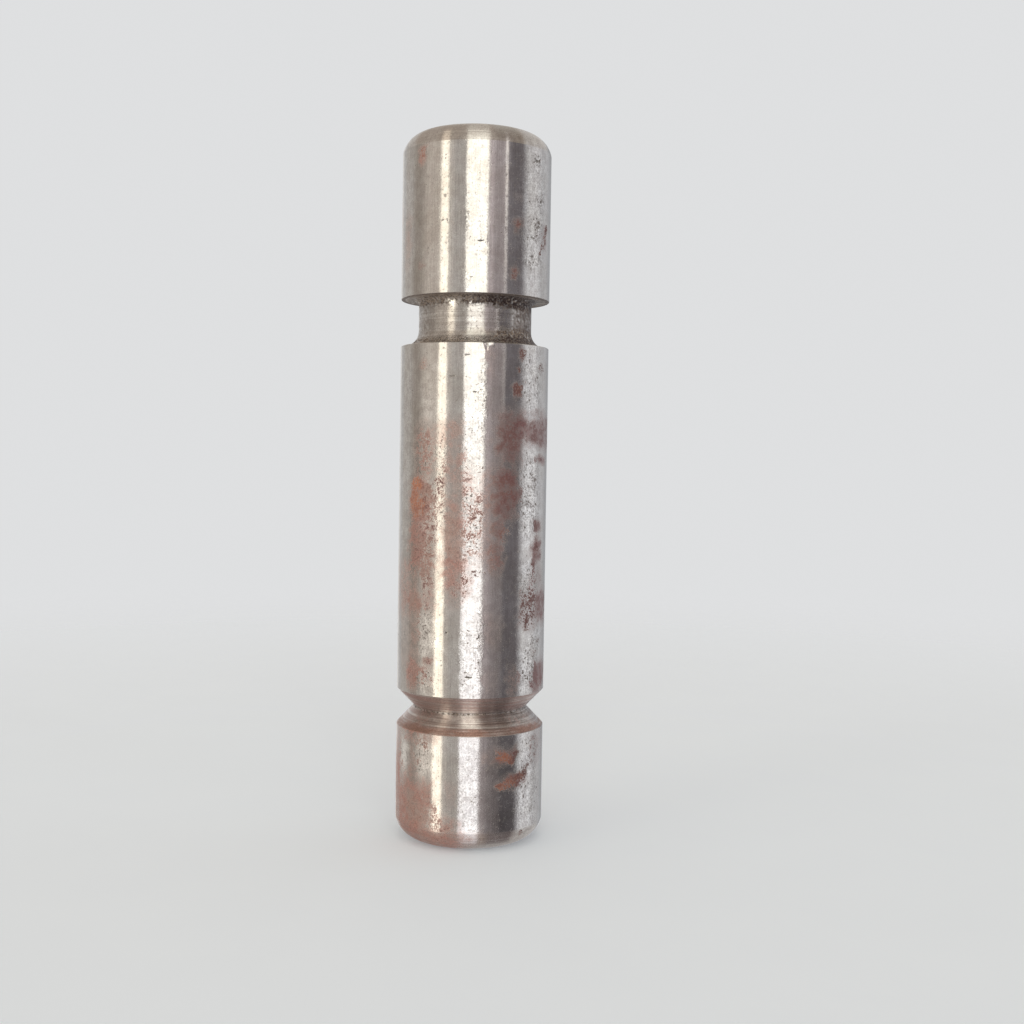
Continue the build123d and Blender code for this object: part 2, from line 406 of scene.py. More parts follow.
def foot_end(section):
    section.line(FACE_RADIUS, 0, FACE_STEP, "face")
    section.end_round(END_RADIUS, -90, -TOOL_RING_TILT, -END_EDGE)
    section.crease()


def lock_groove(section):
    """V groove with a small root radius."""
    root_tangent = LOCK_ROOT * math.sin(math.radians(45))
    root_centre = LOCK_BOTTOM + LOCK_ROOT * math.sqrt(2)
    section.into_groove(LOCK_LOW, LAND_STEP)
    section.line(root_centre - root_tangent, LOCK_CENTRE - root_tangent, RING_STEP, "lock_low")
    section.arc((root_centre, LOCK_CENTRE), LOCK_ROOT, 225, 135, FINE_STEP, "lock_root")
    section.out_of_groove(LOCK_HIGH, RING_STEP, "lock_high")


def keeper_groove(section):
    """Square groove: the lower wall sweeps out of the neck in a wide root radius."""
    section.line(PIN_RADIUS, KEEPER_LOW - NICK_LENGTH - EDGE_BREAK, LAND_STEP, "land")
    section.into_groove(KEEPER_LOW, NICK_STEP)
    section.line(NECK_RADIUS + LOW_ROOT, KEEPER_LOW, RING_STEP, "keeper_low")
    low_centre = (NECK_RADIUS + LOW_ROOT, KEEPER_LOW + LOW_ROOT)
    section.arc(low_centre, LOW_ROOT, 270, 180, LOW_ROOT_STEP, "keeper_low")
    section.line(NECK_RADIUS, KEEPER_HIGH - HIGH_ROOT, NECK_STEP, "keeper_neck")
    high_centre = (NECK_RADIUS + HIGH_ROOT, KEEPER_HIGH - HIGH_ROOT)
    section.arc(high_centre, HIGH_ROOT, 180, 90, HIGH_ROOT_STEP, "keeper_high")
    section.out_of_groove(KEEPER_HIGH, HIGH_WALL_STEP, "keeper_high")


def head_end(section):
    section.line(PIN_RADIUS, PIN_LENGTH - END_HEIGHT, LAND_STEP, "land")
    section.crease()
    section.end_round(PIN_LENGTH - END_RADIUS, END_EDGE, TOOL_RING_TILT, 90)
    section.line(INNER_ROW, PIN_LENGTH, FACE_STEP, "face")


def pin_section():
    section = Profile(INNER_ROW, 0)
    foot_end(section)
    lock_groove(section)
    keeper_groove(section)
    head_end(section)
    return section


def column_azimuths():
    close = np.arange(CLOSE_FROM, CLOSE_TO, CLOSE_STEP)
    rest = 360 - (CLOSE_TO - CLOSE_FROM)
    count = round(rest / COLUMN_STEP)
    return np.concatenate([close, CLOSE_TO + rest * np.arange(count) / count])


def all_patches():
    """Scale, film and pitted patches: the tables' own, and random ones for the unseen side."""
    draw = random.Random(UNSEEN_SEED)
    scale = list(SCALE_PATCHES)
    film = list(FILM_PATCHES)
    pitted = list(PITTED_PATCHES)

    def place():
        azimuth = UNSEEN_FROM + draw.random() * (360 - 2 * UNSEEN_FROM)
        return azimuth, draw.choice([draw.uniform(*span) for span in UNSEEN_SPANS])

    def within(*spans):
        return tuple(draw.uniform(*span) for span in spans)

    for _ in range(UNSEEN_SPECKS):
        spot = place()
        size = draw.uniform(0.4, 1.6)
        scale.append((*spot, size, size * draw.uniform(0.8, 2.2), *within((0.4, 0.9), (0.1, 0.7))))
    for _ in range(UNSEEN_STAINS):
        spot = place()
        film.append((*spot, *within((2, 5), (2, 7), (0.35, 0.85))))
        scale.append((*spot, *within((1.5, 3.5), (2, 5), (0.3, 0.6), (0.2, 0.5))))
    for _ in range(UNSEEN_ETCHED):
        spot = place()
        pitted.append((*spot, *within((2, 4), (3, 9), (0.35, 0.7))))
    return scale, film, pitted


def patch_reach(patch, azimuth, height):
    """How far points lie from a patch's middle: 1 is on its rim."""
    across = np.radians(turn_between(azimuth, patch[0])) * PIN_RADIUS / patch[2]
    along = (height - patch[1]) / patch[3]
    return (np.abs(across) ** OVAL_POWER + np.abs(along) ** OVAL_POWER) ** (1 / OVAL_POWER)


def spread(patches, azimuth, height, soft):
    """Strongest patch at each point; soft is the share of a patch over which it fades."""
    field = np.zeros_like(azimuth)
    for patch in patches:
        reach = patch_reach(patch, azimuth, height)
        field = np.maximum(field, patch[4] * smooth(1 + soft, 1 - soft, reach))
    return field


def hue_field(patches, azimuth, height):
    """Hue of the patch that is nearest to each point, in units of its own size."""
    nearest = np.full_like(azimuth, np.inf)
    hue = np.zeros_like(azimuth)
    for patch in patches:
        reach = patch_reach(patch, azimuth, height)
        closer = reach < nearest
        nearest[closer] = reach[closer]
        hue[closer] = patch[5]
    return hue


def tool_ridges(along, length, pitch, width, seed):
    """Sharp crests at uneven places along a length, each falling off over width."""
    draw = random.Random(seed)
    height = np.zeros_like(along)
    at = 0.0
    while at < length:
        tall = draw.uniform(0.3, 1.0)
        height = np.maximum(height, tall * np.clip(1 - np.abs(along - at) / width, 0, 1))
        at += pitch * draw.uniform(0.6, 1.5)
    return height


def nick_relief(azimuth, height):
    """A wedge struck down from the keeper groove, and the burr that it threw up on its right."""
    across = np.radians(turn_between(azimuth, NICK_LEFT)) * PIN_RADIUS
    down = (KEEPER_LOW - height) / NICK_LENGTH
    left = NICK_LEAN * np.clip(down, 0, 1)
    into = np.clip((across - left) / (NICK_WIDTH - left * 0.6), 0, 1)
    wedge = into * (across < NICK_WIDTH) * np.clip(1 - down, 0, 1) * (down > -0.2)
    ramp = np.clip((across - NICK_WIDTH) / BURR_WIDTH, 0, 1)
    ramp = ramp * smooth(NICK_WIDTH + BURR_WIDTH + BURR_END, NICK_WIDTH + BURR_WIDTH, across)
    burr = ramp * smooth(BURR_LENGTH, BURR_LENGTH * 0.4, KEEPER_LOW - height)
    burr = burr * (height < KEEPER_LOW + 0.02)
    return BURR_HEIGHT * burr - NICK_DEPTH * wedge


def dent_relief(azimuth, height):
    relief = 0
    for centre, level, radius, depth in DENTS:
        reach = patch_reach((centre, level, radius, radius * 0.7), azimuth, height)
        relief = relief - depth * np.exp(-reach * reach * 1.6)
    return relief


def form_noise(places, size, seed):
    """Smooth seeded noise at the given places, about -1 to 1; size is its grain."""
    shift = Vector((seed * 17.3, seed * 5.1, seed * 9.7))
    values = [noise.noise(Vector(place) / size + shift) for place in places.reshape(-1, 3)]
    return np.array(values).reshape(places.shape[:2])


def around(azimuth, outward, up):
    """Vectors at each azimuth, from how far they point outward and up."""
    turn = np.radians(azimuth)
    parts = (outward * np.sin(turn), -outward * np.cos(turn), up)
    return np.stack(np.broadcast_arrays(*parts), axis=-1)


def section_normals(points):
    """How far the surface's normal points outward and up, as two columns."""
    ahead = np.gradient(points, axis=0)
    normals = np.stack([ahead[:, 1], -ahead[:, 0]], axis=1)
    normals /= np.linalg.norm(normals, axis=1)[:, None]
    return normals[:, 0:1], normals[:, 1:2]


def turning_relief(section, azimuth, height):
    """Turning marks in the two grooves and the tool ring on the end roundings."""
    over = height - LOCK_LOW
    relief = 0.035 * tool_ridges(over, LOCK_WIDTH, 0.3, 0.16, 5)
    relief += 0.012 * tool_ridges(over, LOCK_WIDTH, 0.13, 0.07, 8)
    relief *= section.where("lock")
    keeper_marks = tool_ridges(height - KEEPER_LOW, KEEPER_WIDTH, 0.55, 0.4, 11)
    relief += 0.01 * keeper_marks * section.where("keeper")
    lift = np.maximum(END_RADIUS - height, height - (PIN_LENGTH - END_RADIUS))
    tilt = np.degrees(np.arcsin(np.clip(lift / END_RADIUS, -1, 1)))
    offset = np.radians(tilt - TOOL_RING_TILT) * END_RADIUS
    ring = np.clip(1 - np.abs(offset) / TOOL_RING_WIDTH, 0, 1)
    relief -= TOOL_RING_DEPTH * ring * section.where("round")
    return relief * (1 + 0.25 * np.sin(np.radians(azimuth * 2 + 40)))


def build_pin():
    section = pin_section()
    points = np.array(section.points)
    azimuth = column_azimuths()[None, :]
    radius = points[:, 0:1]
    height = points[:, 1:2]
    places = around(azimuth, radius, height)
    broad = form_noise(places, 3.5, 1)
    medium = form_noise(places, 1.1, 2)
    fields = surface_fields(section, azimuth, radius, height, broad, medium)
    fields["run"] = np.cumsum(np.hypot(*np.diff(points, axis=0, prepend=points[:1]).T))[:, None]

    land = section.where("land", "edge")
    relief = 0.0025 * broad + 0.001 * medium * land
    relief += fields["scale"] * (0.006 + 0.01 * medium)
    relief += (nick_relief(azimuth, height) + dent_relief(azimuth, height)) * land
    relief += turning_relief(section, azimuth, height)
    relief *= smooth(0, 1, radius)
    places += around(azimuth, *section_normals(points)) * relief[..., None]
    places[..., 2] = np.maximum(places[..., 2], 0)
    return mesh_of(section, places, fields)


def surface_fields(section, azimuth, radius, height, broad, medium):
    """What lies on the surface at each point, with the shade and glints painted on it, under the names that
    the steel reads.
    """
    lock = section.where("lock")
    keeper = section.where("keeper")
    rounding = section.where("round")
    scale, film, pitted = all_patches()
    side = turn_between(azimuth, 0)
    near = azimuth + 3.5 * medium
    level = height + 0.5 * broad
    worn = spread(WORN_AND_GLINT_PATCHES, near, level, 0.5)
    band = lock_band(height, section.where("lock_low", "edge"), broad, medium)
    grime, ragged = grime_and_shade_fields(side, height, radius, keeper, lock, medium)

    ring_film = lock_film(lock, section.where("lock_high"), side, broad) + 0.9 * band
    ring_film *= 1 - 0.8 * worn * (1 - band)
    clouds = spread(film, azimuth + 5 * medium, height + 0.7 * broad + 0.4 * medium, 0.5)
    clouds = np.maximum(clouds * (1 - 0.7 * lock), ring_film)
    specks = np.maximum(spread(scale, near, level, 0.45) * (1 - lock), 0.14 * band)
    hue = np.where(band > 0.05, 0.55, hue_field(scale, near, level))
    return {
        "scale": specks * (1 - keeper),
        "film": np.maximum(clouds, (0.06 + 0.08 * broad) * rounding),
        "pitted": spread(pitted, near, level, 0.5) * (1 - keeper),
        "worn": worn,
        "hue": np.where(keeper > 0, keeper_dirt_and_shade_tone(side, height, radius), hue),
        "deep": painted_side_shade(side, broad),
        "grime": grime * (1 - 0.7 * worn * keeper),
        "ragged": ragged,
        "turned": lock + 0.5 * keeper + 0.2 * rounding + 0.8 * section.where("face"),
        "band": band,
    }


def painted_side_shade(side, broad):
    """Painted shade: tarnish and rust are darker on the pin's right, the side turned from the light, than
    on its left, and darker round the back as well.
    """
    deep = smooth(6, 22, side) * smooth(130, 95, side)
    return np.clip(deep + (0.35 + 0.3 * broad) * smooth(95, 120, np.abs(side)), 0, 1)


def grime_and_shade_fields(side, height, radius, keeper, lock, medium):
    """Dark dirt and painted shade in the corners of the keeper groove, painted shade over its upper wall
    under the head, darker on the pin's right, and dirt and painted shade in the V's root.

    The second field tells how ragged it is: crumbs lie in the corners, an even coat elsewhere.
    """
    front = smooth(150, 110, side)
    right = smooth(8, 30, side) * front
    middle = smooth(-20, -6, side) * front
    far_right = smooth(36, 44, side) * front
    flanks = smooth(34, 62, np.abs(side)) * smooth(120, 75, np.abs(side))
    high = smooth(KEEPER_HIGH - 1.75 - 0.7 * right, KEEPER_HIGH - 0.75 - 0.25 * right, height)
    low = smooth(KEEPER_LOW + 1.35 + 2.0 * right, KEEPER_LOW + 0.75 + 0.8 * right, height)
    # painted shade: the whole upper wall, the underside of the head, is darkened
    wall = height > KEEPER_HIGH - 0.3
    neck = 0.08 + 0.1 * medium + 0.28 * flanks + 0.08 * right + 0.18 * far_right
    dirt_and_shade = keeper * (neck + (0.6 + 0.25 * middle) * high + (0.42 + 0.2 * right) * low + wall)
    root = smooth(LOCK_BOTTOM + 0.3, LOCK_BOTTOM + 0.05, radius) * lock
    inner = smooth(LOCK_BOTTOM + 2.0, LOCK_BOTTOM + 0.6, radius) * far_right * lock
    dirt_and_shade = np.clip(dirt_and_shade + 0.5 * root * (1 - 0.8 * right) + 0.3 * inner, 0, 1)
    return dirt_and_shade, keeper * np.maximum(high, low) * (radius < PIN_RADIUS - 0.6) + root


def keeper_dirt_and_shade_tone(side, height, radius):
    """Tone of the keeper groove's dirt and painted shade: 0 dark, as in the shaded upper corner and on the
    pin's right, 1 pale, as on the left.
    """
    right = smooth(-25, 30, side) * smooth(160, 120, side)
    corner = smooth(11.2, 10.1, radius) * smooth(KEEPER_HIGH - 2.2, KEEPER_HIGH - 1.0, height)
    low = smooth(KEEPER_LOW + 1.9, KEEPER_LOW + 1.0, height)
    return 0.72 - 0.22 * right - (0.12 + 0.4 * right) * corner - (0.22 + 0.15 * right) * low


def lock_film(lock, upper, side, broad):
    """The V groove is browned, its upper flank more than its lower one, most on the right."""
    right = smooth(30, 44, side) * smooth(150, 110, side)
    left = smooth(-28, -42, side)
    return lock * (0.24 + 0.14 * broad + 0.24 * left) + upper * (0.38 + 0.2 * right)


def lock_band(height, lower, broad, medium):
    """A stain of rust runs round the V's lower flank, close to the edge."""
    band = smooth(LOCK_LOW + 1.15, LOCK_LOW + 0.45, height + 0.4 * medium)
    strength = np.clip(0.85 + 0.6 * broad + 0.3 * medium, 0, 1.1)
    return lower * band * (height > LOCK_LOW - 0.2) * strength


def new_object(name, data):
    made = bpy.data.objects.new(name, data)
    bpy.context.scene.collection.objects.link(made)
    return made


def mesh_of(section, places, fields):
    """Quads between the rows, a fan at each end, sharp creases and one attribute for each field."""
    rows, wide = places.shape[:2]
    ends = np.array([[0, 0, 0], [0, 0, PIN_LENGTH]])
    vertices = np.concatenate([places.reshape(-1, 3), ends]) * MM
    this = np.arange(rows * wide).reshape(rows, wide)
    beside = np.roll(this, -1, axis=1)
    quads = np.stack([this[:-1], beside[:-1], beside[1:], this[1:]], axis=-1).reshape(-1, 4)
    middle = np.full(wide, rows * wide)
    foot = np.stack([middle, beside[0], this[0]], axis=-1)
    head = np.stack([middle + 1, this[-1], beside[-1]], axis=-1)
    mesh = bpy.data.meshes.new("turned_pin")
    mesh.from_pydata(vertices.tolist(), [], quads.tolist() + foot.tolist() + head.tolist())
    mesh.update(calc_edges=True)
    mesh.polygons.foreach_set("use_smooth", [True] * len(mesh.polygons))
    ends_of_edges = np.zeros(len(mesh.edges) * 2, int)
    mesh.edges.foreach_get("vertices", ends_of_edges)
    row_of = ends_of_edges.reshape(-1, 2) // wide
    sharp = (row_of[:, 0] == row_of[:, 1]) & np.isin(row_of[:, 0], section.creases)
    mark = mesh.attributes.new("sharp_edge", "BOOLEAN", "EDGE")
    mark.data.foreach_set("value", sharp)
    for name, field in fields.items():
        field = np.broadcast_to(field, (rows, wide))
        values = np.concatenate([field.reshape(-1), [field[0].mean(), field[-1].mean()]])
        layer = mesh.attributes.new(name, "FLOAT", "POINT")
        layer.data.foreach_set("value", values.astype(np.float32))
    return new_object("turned_pin", mesh)


class Graph:
    """Short calls for the nodes of one material or world."""

    def __init__(self, owner):
        owner.use_nodes = True
        self.tree = owner.node_tree
        self.tree.nodes.clear()

    def node(self, kind, inputs=(), **settings):
        """New node; inputs gives a value or a linked socket for each input, in order or by name."""
        made = self.tree.nodes.new("ShaderNode" + kind)
        for name, value in settings.items():
            setattr(made, name, value)
        named = inputs if isinstance(inputs, dict) else dict(enumerate(inputs))
        for key, value in named.items():
            socket = made.inputs[key]
            if isinstance(value, bpy.types.NodeSocket):
                self.tree.links.new(value, socket)
            elif socket.type == "RGBA" and isinstance(value, tuple):
                socket.default_value = (*value, 1.0)
            else:
                socket.default_value = value
        return made

    def math(self, operation, *values, clamp=False):
        return self.node("Math", values, operation=operation, use_clamp=clamp).outputs[0]

    def times(self, first, second, clamp=False):
        return self.math("MULTIPLY", first, second, clamp=clamp)

    def minus(self, first, second, clamp=False):
        return self.math("SUBTRACT", first, second, clamp=clamp)

    def swing(self, value):
        """How far a noise is above its middle."""
        return self.minus(value, 0.5)

    def total(self, start, *terms, clamp=False):
        """Start plus each value times its weight."""
        for value, weight in terms:
            start = self.math("MULTIPLY_ADD", value, weight, start, clamp=clamp)
        return start

    def ease(self, value, low, high, to_low=0.0, to_high=1.0):
        """Smoothstep from low to high."""
        inputs = (value, low, high, to_low, to_high)
        return self.node("MapRange", inputs, interpolation_type="SMOOTHSTEP").outputs[0]

    def length(self, vector):
        return self.node("VectorMath", (vector,), operation="LENGTH").outputs["Value"]

    def scaled(self, vector, across, along):
        """Vector with its X and Y times across, and its Z times along."""
        by = (across, across, along)
        return self.node("VectorMath", (vector, by), operation="MULTIPLY").outputs[0]

    def grain(self, vector, scale, detail=2.0, roughness=0.5, output="Fac"):
        inputs = {"Vector": vector, "Scale": scale, "Detail": detail, "Roughness": roughness}
        return self.node("TexNoise", inputs).outputs[output]

    def field(self, name):
        return self.node("Attribute", attribute_name=name).outputs["Fac"]

    def blend(self, factor, first, second, mode="MIX"):
        """Colour between first and second. The Mix node has its colours at inputs 6 and 7."""
        inputs = {"Factor": factor, 6: first, 7: second}
        return self.node("Mix", inputs, data_type="RGBA", blend_type=mode).outputs[2]

    def tint(self, colour, by):
        return self.blend(1.0, colour, by, "MULTIPLY")

    def mean(self, factor, first, second):
        """Number between first and second. The Mix node has its numbers at inputs 2 and 3."""
        inputs = {"Factor": factor, 2: first, 3: second}
        return self.node("Mix", inputs, data_type="FLOAT").outputs[0]


def surface_grains(g):
    """Noise of several sizes over the pin, and its fields, by name."""
    metres = g.node("TexCoord").outputs["Object"]
    place = g.scaled(metres, 1 / MM, 1 / MM)
    x, y, _ = g.node("SeparateXYZ", (g.scaled(metres, RING_WANDER, 0.0),)).outputs
    run = g.times(g.field("run"), RINGS_PER_MM)
    rings = g.node("CombineXYZ", (x, y, run)).outputs[0]
    noises = {name: g.grain(place, *kind) for name, kind in GRAINS.items()}
    return SimpleNamespace(
        place=place,
        streak=g.grain(g.scaled(metres, 4200.0, 160.0), 1.0),
        scratch=g.grain(g.scaled(metres, 9000.0, 300.0), 1.0, 1.0),
        rings=g.grain(rings, 1.0, 2.0, 0.6),
        **noises,
        **{name: g.field(name) for name in FIELDS},
    )


def bare_metal(g, n):
    """Lightly mottled steel, with drawn streaks along the pin and rings where it was turned. The rings'
    bright lines and the bright stretches are partly painted highlights.
    """
    metal = g.blend(g.ease(n.cloud, 0.35, 0.65), STEEL_DULL, STEEL_CLEAR)
    metal = g.blend(g.ease(n.streak, 0.42, 0.7, 0.0, 0.35), metal, STEEL_STREAK)
    dark_ring = g.ease(n.rings, 0.44, 0.58, 0.0, 0.75)
    metal = g.blend(g.times(n.turned, dark_ring), metal, RING_DARK)
    # bright ring lines, partly a painted highlight on the turned rings
    ring_glint = g.ease(n.rings, 0.44, 0.34, 0.0, 0.6)
    metal = g.blend(g.times(n.turned, ring_glint), metal, RING_GLINT)
    # clean bright stretches, partly painted glints where the highlights fall
    worn = g.times(n.worn, g.ease(n.fine, 0.3, 0.58, 0.35, 1.0))
    metal = g.blend(worn, metal, STEEL_WORN_AND_GLINT)
    metal = g.tint(metal, g.ease(n.scratch, 0.35, 0.65, 0.95, 1.05))
    metal = g.tint(metal, g.ease(n.dust, 0.3, 0.7, 0.91, 1.07))
    metal = g.tint(metal, g.blend(g.ease(n.coarse, 0.36, 0.62), MOTTLE_PALE, MOTTLE_DARK))
    flecks = g.ease(n.fine, 0.36, 0.64, 1.22, 0.68)
    flecks = g.times(flecks, g.ease(n.coarse, 0.38, 0.62, 1.08, 0.86))
    return g.blend(n.pitted, metal, g.tint(metal, flecks))


def film_share(g, n):
    """Share of thin brown tarnish.

    It lies in soft clouds, as rings where the steel was turned, and in grains, with clean
    islands between them, where the steel is etched.
    """
    grains = g.total(0.0, (n.fine, 0.36), (n.dust, 0.2), (n.coarse, 0.44))
    grains = g.minus(n.film, g.ease(grains, 0.38, 0.62, 0.0, 0.95))
    grains = g.total(0.5, (grains, 2.3), clamp=True)
    hollow = g.ease(n.coarse, 0.62, 0.38)
    patchy = g.total(0.46, (hollow, 0.74), (g.ease(n.fine, 0.52, 0.68), -0.42))
    whole = g.total(0.78, (hollow, 0.26), (g.ease(n.fine, 0.54, 0.68), -0.28))
    clouds = g.mean(g.ease(n.film, 0.5, 0.9), patchy, whole)
    rings = g.ease(n.rings, 0.36, 0.62, 0.45, 1.35)
    rings = g.mean(g.times(n.band, 0.6), rings, 1.0)
    clouds = g.times(n.film, g.mean(n.turned, clouds, rings), clamp=True)
    share = g.mean(g.ease(n.pitted, 0.25, 0.85), clouds, grains)
    return g.times(share, g.ease(n.film, 0.0, 0.22))


def film_colour(g, n):
    spot = g.ease(n.cloud, 0.4, 0.6)
    # painted shade: the film turns to its shaded copy on the pin's right
    colour = g.blend(n.deep, g.blend(spot, *FILM_PALE), g.blend(spot, *FILM_SHADED))
    colour = g.blend(n.turned, colour, g.blend(n.band, FILM_ON_RINGS, FILM_ON_BAND))
    colour = g.tint(colour, g.ease(n.dust, 0.34, 0.66, 0.76, 1.22))
    return g.blend(g.times(n.pitted, 0.12), colour, (0.0, 0.0, 0.0))


def pit_share(g, n, film):
    """Small dark holes: bunched and close where the surface is etched, few under the tarnish."""
    depth = g.ease(n.pitted, 0.25, 1.0, 0.7, 0.55)
    bunch = g.times(g.minus(0.53, n.coarse), n.pitted)
    depth = g.total(depth, (film, 0.06), (bunch, 0.5))
    return g.times(g.minus(n.spots, depth), 9.0, clamp=True)


def rust_share(g, n):
    """Specks of rust that join up where the cover is high."""
    speck = g.total(0.0, (n.fine, 0.45), (n.dust, 0.25), (n.coarse, 0.3))
    speck = g.math("ADD", g.ease(speck, 0.38, 0.62), 0.03)
    return g.times(g.minus(n.scale, speck), 3.0, clamp=True)


def rust_colour(g, n):
    shade = g.total(n.hue, (g.swing(n.coarse), 2.2), (g.swing(n.fine), 1.4))
    colour = g.blend(shade, RUST_DARK, RUST_ORANGE)
    colour = g.blend(g.ease(n.dust, 0.42, 0.66, 0.0, 0.5), colour, RUST_BLACK)
    # painted shade: the rust darkens on the pin's right
    return g.blend(n.deep, colour, g.tint(colour, RUST_SHADED))


def grime_and_shade_share(g, n):
    """Dirt and painted shade that fade out in a fine ragged edge."""
    grain = g.total(0.0, (g.swing(n.fine), 1.6), (g.swing(n.crumbs), 3.4),
                    (g.swing(n.dust), 1.2), (g.swing(n.streak), 0.8))
    ragged = g.total(n.grime, (grain, g.mean(n.ragged, 0.34, 1.0)))
    return g.times(g.minus(ragged, 0.12), 1.5, clamp=True)


def grime_and_shade_colour(g, n):
    """Black to brown where it lies as an even coat, which also paints shade, black to buff in its crumbs,
    whose pale flecks partly paint glints.
    """
    # pale flecks in the crumbs, partly painted glints where the highlight shows through
    flecks = g.times(g.minus(n.fine, 0.53), n.ragged)
    tone = g.total(n.hue, (g.swing(n.dust), 2.6), (g.swing(n.coarse), 1.0), (flecks, 3.4))
    return g.blend(tone, SHADE_AND_GRIME_BLACK, g.blend(n.ragged, SHADE_AND_GRIME_BROWN, GRIME_BUFF_AND_GLINT))


def mark_share(g, n):
    """Single small marks, each a warped oval at its own place on the surface."""
    warp = g.grain(n.place, MARK_WARP_SCALE, output="Color")
    shift = g.scaled(warp, MARK_WARP, MARK_WARP)
    moved = g.node("VectorMath", (n.place, shift), operation="ADD").outputs[0]
    share = 0.0
    for azimuth, height, half_width, half_height, tone in MARKS:
        turn = math.radians(azimuth)
        middle = (PIN_RADIUS * math.sin(turn), -PIN_RADIUS * math.cos(turn), height)
        local = g.node("Mapping", {
            "Vector": moved,
            "Location": tuple(part + MARK_WARP / 2 for part in middle),
            "Rotation": (0, 0, turn),
            "Scale": (half_width, MARK_DEPTH, half_height),
        }, vector_type="TEXTURE")
        oval = g.ease(g.length(local.outputs[0]), 1.4, 0.6, 0.0, tone)
        share = g.math("MAXIMUM", share, oval)
    return share


def relief_height(g, n, pits, rust, grime, marks):
    """Height of the fine relief: each of its parts comes with its height in millimetres."""
    return g.total(
        0.0, (pits, -0.009), (marks, -0.03), (rust, 0.003), (g.times(rust, n.dust), 0.011),
        (g.times(grime, n.dust), 0.012), (g.times(n.turned, n.rings), 0.012),
        (g.times(n.pitted, n.fine), 0.022), (n.ripple, 0.004), (n.fine, 0.0012),
    )


def steel_material():
    """Ground steel, dulled and browned, with pits, rust, dirt and marks, and with painted shade and painted
    glints.
    """
    material = bpy.data.materials.new("worn_steel")
    g = Graph(material)
    n = surface_grains(g)
    film = film_share(g, n)
    pits = pit_share(g, n, film)
    rust = rust_share(g, n)
    grime = grime_and_shade_share(g, n)
    marks = mark_share(g, n)

    colour = g.blend(film, bare_metal(g, n), film_colour(g, n))
    colour = g.blend(g.times(pits, 0.8), colour, PIT_DARK)
    colour = g.blend(rust, colour, rust_colour(g, n))
    # grime and painted shade: dark in the keeper groove's corners, under the head and in the V's root
    colour = g.blend(grime, colour, grime_and_shade_colour(g, n))
    colour = g.blend(marks, colour, MARK_DARK)

    cover = g.math("MAXIMUM", rust, g.times(grime, 0.75))
    cover = g.math("MAXIMUM", cover, marks)
    metallic = g.minus(1.0, cover, clamp=True)
    metallic = g.minus(metallic, g.times(film, g.mean(n.turned, 0.7, 0.25)), clamp=True)
    metallic = g.minus(metallic, g.times(pits, 0.45), clamp=True)

    rough = g.mean(n.turned, g.ease(n.cloud, 0.35, 0.65, 0.14, 0.18), 0.3)
    rough = g.mean(g.ease(film, 0.4, 1.0), rough, 0.46)
    rough = g.mean(cover, rough, 0.8)
    rough = g.mean(pits, rough, 0.6)

    relief = relief_height(g, n, pits, rust, grime, marks)
    bump = g.node("Bump", {"Strength": 1.0, "Distance": MM, "Height": relief})
    tangent = g.node("Tangent", direction_type="RADIAL", axis="Z")
    shader = g.node("BsdfPrincipled", {
        "Base Color": colour,
        "Metallic": metallic,
        "Roughness": rough,
        "Normal": bump.outputs["Normal"],
        "Anisotropic": 0.9,
        "Anisotropic Rotation": 0.25,
        "Tangent": tangent.outputs["Tangent"],
    })
    g.node("OutputMaterial", {"Surface": shader.outputs["BSDF"]})
    return material


class Sky(Graph):
    """Graph of the studio, with the direction that its light comes from."""

    def __init__(self, owner):
        super().__init__(owner)
        self.azimuth, self.elevation = self.direction_angles()

    def direction_angles(self):
        """Azimuth and elevation, in degrees, of a direction seen from the pin.

        High up and low down they follow panels that bend over the pin from the front, so the
        bands run straight on over its roundings. The elevation goes on past 90 at the back.
        """
        toward = self.node("TexCoord").outputs["Generated"]
        x, y, z = self.node("SeparateXYZ", (toward,)).outputs
        upright = self.times(self.math("ARCTAN2", x, self.times(y, -1.0)), math.degrees(1))
        ahead = self.minus(1.0, y)
        leaning = self.times(self.math("ARCTAN2", x, ahead), math.degrees(2))
        elevation = self.times(self.math("ARCSINE", z), math.degrees(1))
        flat = self.length(self.node("CombineXYZ", (x, ahead)).outputs[0])
        over = self.times(self.math("ARCTAN2", z, flat), math.degrees(2))
        steep = self.ease(self.math("ABSOLUTE", elevation), 18, 34)
        return self.mean(steep, upright, leaning), self.mean(steep, elevation, over)

    def window(self, left, right, soft, bottom=(-181, -180), top=(181, 180), lean=(0.0, 0.0)):
        """1 inside an upright window of the studio; lean turns each side with the elevation.

        Bottom and top give the elevations where it is closed and where it is open.
        """
        rise = self.math("MINIMUM", self.math("MAXIMUM", self.elevation, -20.0), 20.0)
        side_a = self.total(self.azimuth, (rise, -lean[0]))
        side_b = self.total(self.azimuth, (rise, -lean[1]))
        inside = self.times(self.ease(side_a, left - soft, left + soft),
                            self.ease(side_b, right + soft, right - soft))
        inside = self.times(inside, self.ease(self.elevation, *bottom))
        return self.times(inside, self.ease(self.elevation, *top))

    def climb(self, colour, *steps):
        """Colour that turns into each next one between two elevations."""
        for start, end, after in steps:
            colour = self.blend(self.ease(self.elevation, start, end), colour, after)
        return colour


def panel_ring(sky):
    """The panels, joined by soft steps, as one ramp round the horizon."""
    around_once = sky.total(0.5, (sky.azimuth, 1 / 360))
    ramp = sky.node("ValToRGB", (around_once,))
    stops = ramp.color_ramp.elements
    wanted = []
    for start, end, bright, tint in PANELS:
        colour = (*(bright * part for part in tint), 1.0)
        wanted += [(start / 360 + 0.5, colour), (end / 360 + 0.5, colour)]
    while len(stops) < len(wanted):
        stops.new(1.0)
    for stop, (position, colour) in zip(stops, wanted):
        stop.position = position
        stop.color = colour
    return ramp.outputs["Color"]


